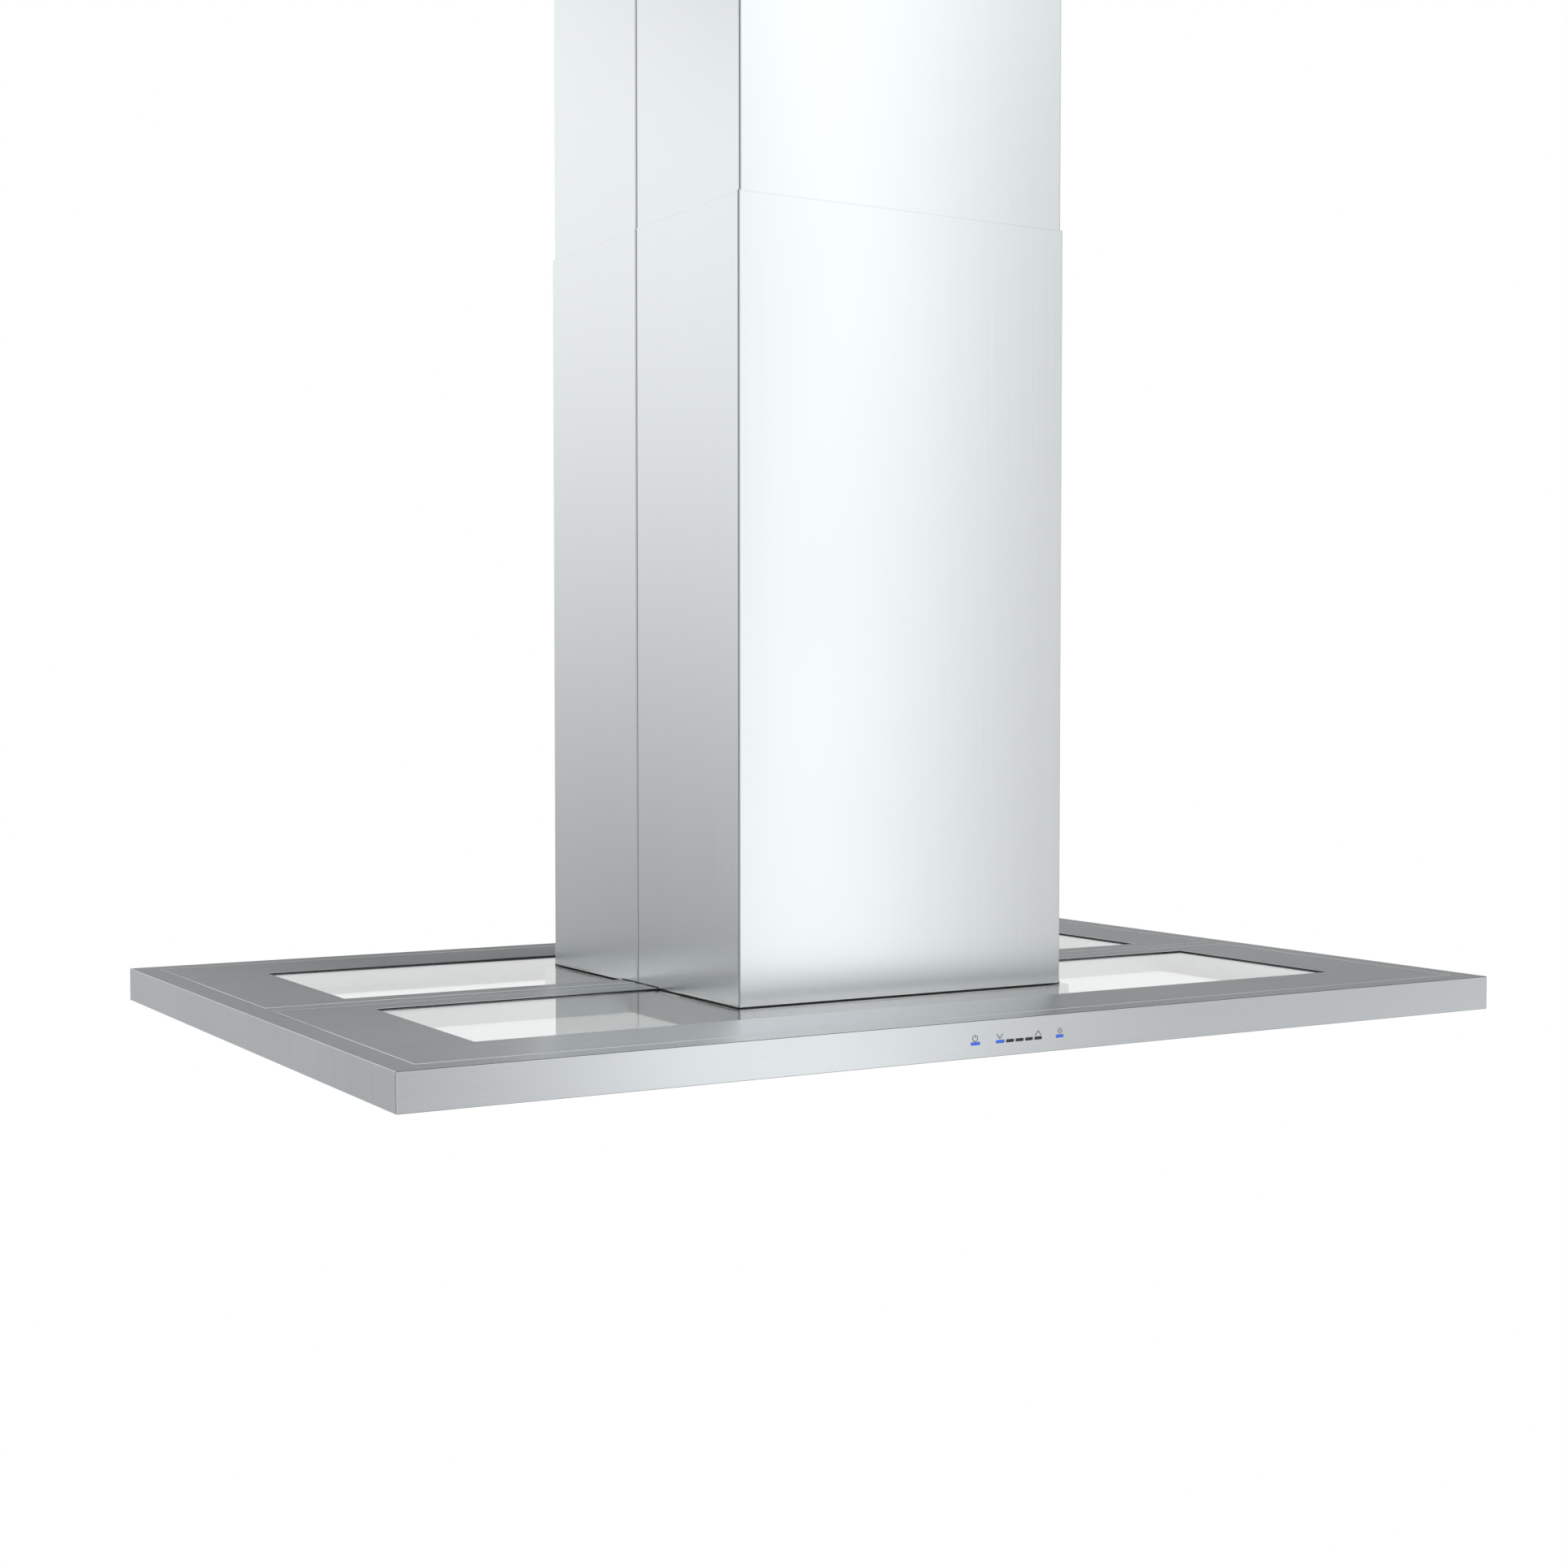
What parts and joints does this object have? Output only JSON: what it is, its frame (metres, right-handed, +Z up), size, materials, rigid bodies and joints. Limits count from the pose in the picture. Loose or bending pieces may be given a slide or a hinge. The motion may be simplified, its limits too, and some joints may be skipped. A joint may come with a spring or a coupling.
{
  "type": "island range hood",
  "caption": "Ceiling-hung island range hood: thin steel canopy with glass windows, touch controls, telescoping chimney, fan, damper flaps and drop-down filters.",
  "frame": {"origin": "centre of the ceiling bracket's top face, where the hood is screwed to the ceiling", "axes": "+Z up, +X along the canopy's long front edge to the right, -Y towards the side with the controls"},
  "size_m": [1.0668, 0.7, 1.0574],
  "materials": {
    "canopy_steel": "fine horizontal brush grain, satin",
    "chimney_steel": "fine upright brush grain, satin",
    "clear_glass": "clear, polished",
    "grey_paint": "light grey, semi-matt",
    "filter_steel": "bright, lightly brushed",
    "black_plastic": "matt moulded",
    "cast_aluminium": "as cast, matt",
    "lamp_lens": "frosted",
    "blue_lens": "lit blue",
    "smoked_lens": "smoked, unlit",
    "circuit_board": "lacquered board",
    "zinc_steel": "galvanised, dull"
  },
  "bodies": {
    "ceiling_frame": {"ceiling_bracket": "zinc_steel", "upper_brace": "zinc_steel", "upper_cover_front": "chimney_steel", "upper_cover_back": "chimney_steel", "upper_leg_front_left": "zinc_steel", "upper_leg_front_right": "zinc_steel", "upper_leg_back_left": "zinc_steel", "upper_leg_back_right": "zinc_steel"},
    "hood": {"air_box": "zinc_steel", "base_ring": "zinc_steel", "blower_scroll": "zinc_steel", "cable_gland": "black_plastic", "canopy_frame": "canopy_steel", "capacitor": "cast_aluminium", "control_board": "circuit_board", "control_housing": "black_plastic", "damper_pin": "zinc_steel", "filter_rail": "grey_paint", "height_bolt_back_left": "zinc_steel", "height_bolt_back_right": "zinc_steel", "height_bolt_front_left": "zinc_steel", "height_bolt_front_right": "zinc_steel", "indicators_lit": "blue_lens", "indicators_unlit": "smoked_lens", "junction_box": "zinc_steel", "junction_lid": "zinc_steel", "lamp_housing_back_left": "cast_aluminium", "lamp_housing_back_right": "cast_aluminium", "lamp_housing_front_left": "cast_aluminium", "lamp_housing_front_right": "cast_aluminium", "lamp_lens_back_left": "lamp_lens", "lamp_lens_back_right": "lamp_lens", "lamp_lens_front_left": "lamp_lens", "lamp_lens_front_right": "lamp_lens", "lower_brace": "zinc_steel", "lower_cover_back": "chimney_steel", "lower_cover_front": "chimney_steel", "lower_leg_back_left": "zinc_steel", "lower_leg_back_right": "zinc_steel", "lower_leg_front_left": "zinc_steel", "lower_leg_front_right": "zinc_steel", "motor": "cast_aluminium", "motor_bracket": "zinc_steel", "outlet_collar": "zinc_steel", "plenum_box": "grey_paint", "top_panel_back": "canopy_steel", "top_panel_front": "canopy_steel", "window_glass_back": "clear_glass", "window_glass_front": "clear_glass"},
    "blower_rotor": {"blower_wheel": "cast_aluminium", "motor_shaft": "zinc_steel"},
    "damper_front": {"damper_flap_front": "cast_aluminium"},
    "damper_back": {"damper_flap_back": "cast_aluminium"},
    "filter_front": {"filter_frame_front": "filter_steel", "filter_baffles_front": "filter_steel"},
    "filter_back": {"filter_frame_back": "filter_steel", "filter_baffles_back": "filter_steel"},
    "latch_front": {"filter_latch_front": "black_plastic"},
    "latch_back": {"filter_latch_back": "black_plastic"}
  },
  "joints": [
    {"name": "height_adjust", "type": "slide", "parent": "ceiling_frame", "child": "hood", "axis": [0, 0, 1], "range_m": [-0.15, 0.2]},
    {"name": "blower_spin", "type": "hinge", "parent": "hood", "child": "blower_rotor", "pos_m": [0, -0.055, -0.876], "axis": [1, 0, 0], "continuous": true},
    {"name": "damper_front_swing", "type": "hinge", "parent": "hood", "child": "damper_front", "pos_m": [0, 0.02, -0.695], "axis": [-1, 0, 0], "range_deg": [0, 75]},
    {"name": "damper_back_swing", "type": "hinge", "parent": "hood", "child": "damper_back", "pos_m": [0, 0.02, -0.695], "axis": [1, 0, 0], "range_deg": [0, 75]},
    {"name": "filter_front_drop", "type": "hinge", "parent": "hood", "child": "filter_front", "pos_m": [0, -0.175, -1.0497], "axis": [-1, 0, 0], "range_deg": [0, 80]},
    {"name": "filter_back_drop", "type": "hinge", "parent": "hood", "child": "filter_back", "pos_m": [0, 0.175, -1.0497], "axis": [1, 0, 0], "range_deg": [0, 80]},
    {"name": "latch_front_slide", "type": "slide", "parent": "filter_front", "child": "latch_front", "axis": [0, -1, 0], "range_m": [0, 0.005], "stiffness_N_per_m": 300},
    {"name": "latch_back_slide", "type": "slide", "parent": "filter_back", "child": "latch_back", "axis": [0, 1, 0], "range_m": [0, 0.005], "stiffness_N_per_m": 300}
  ]
}
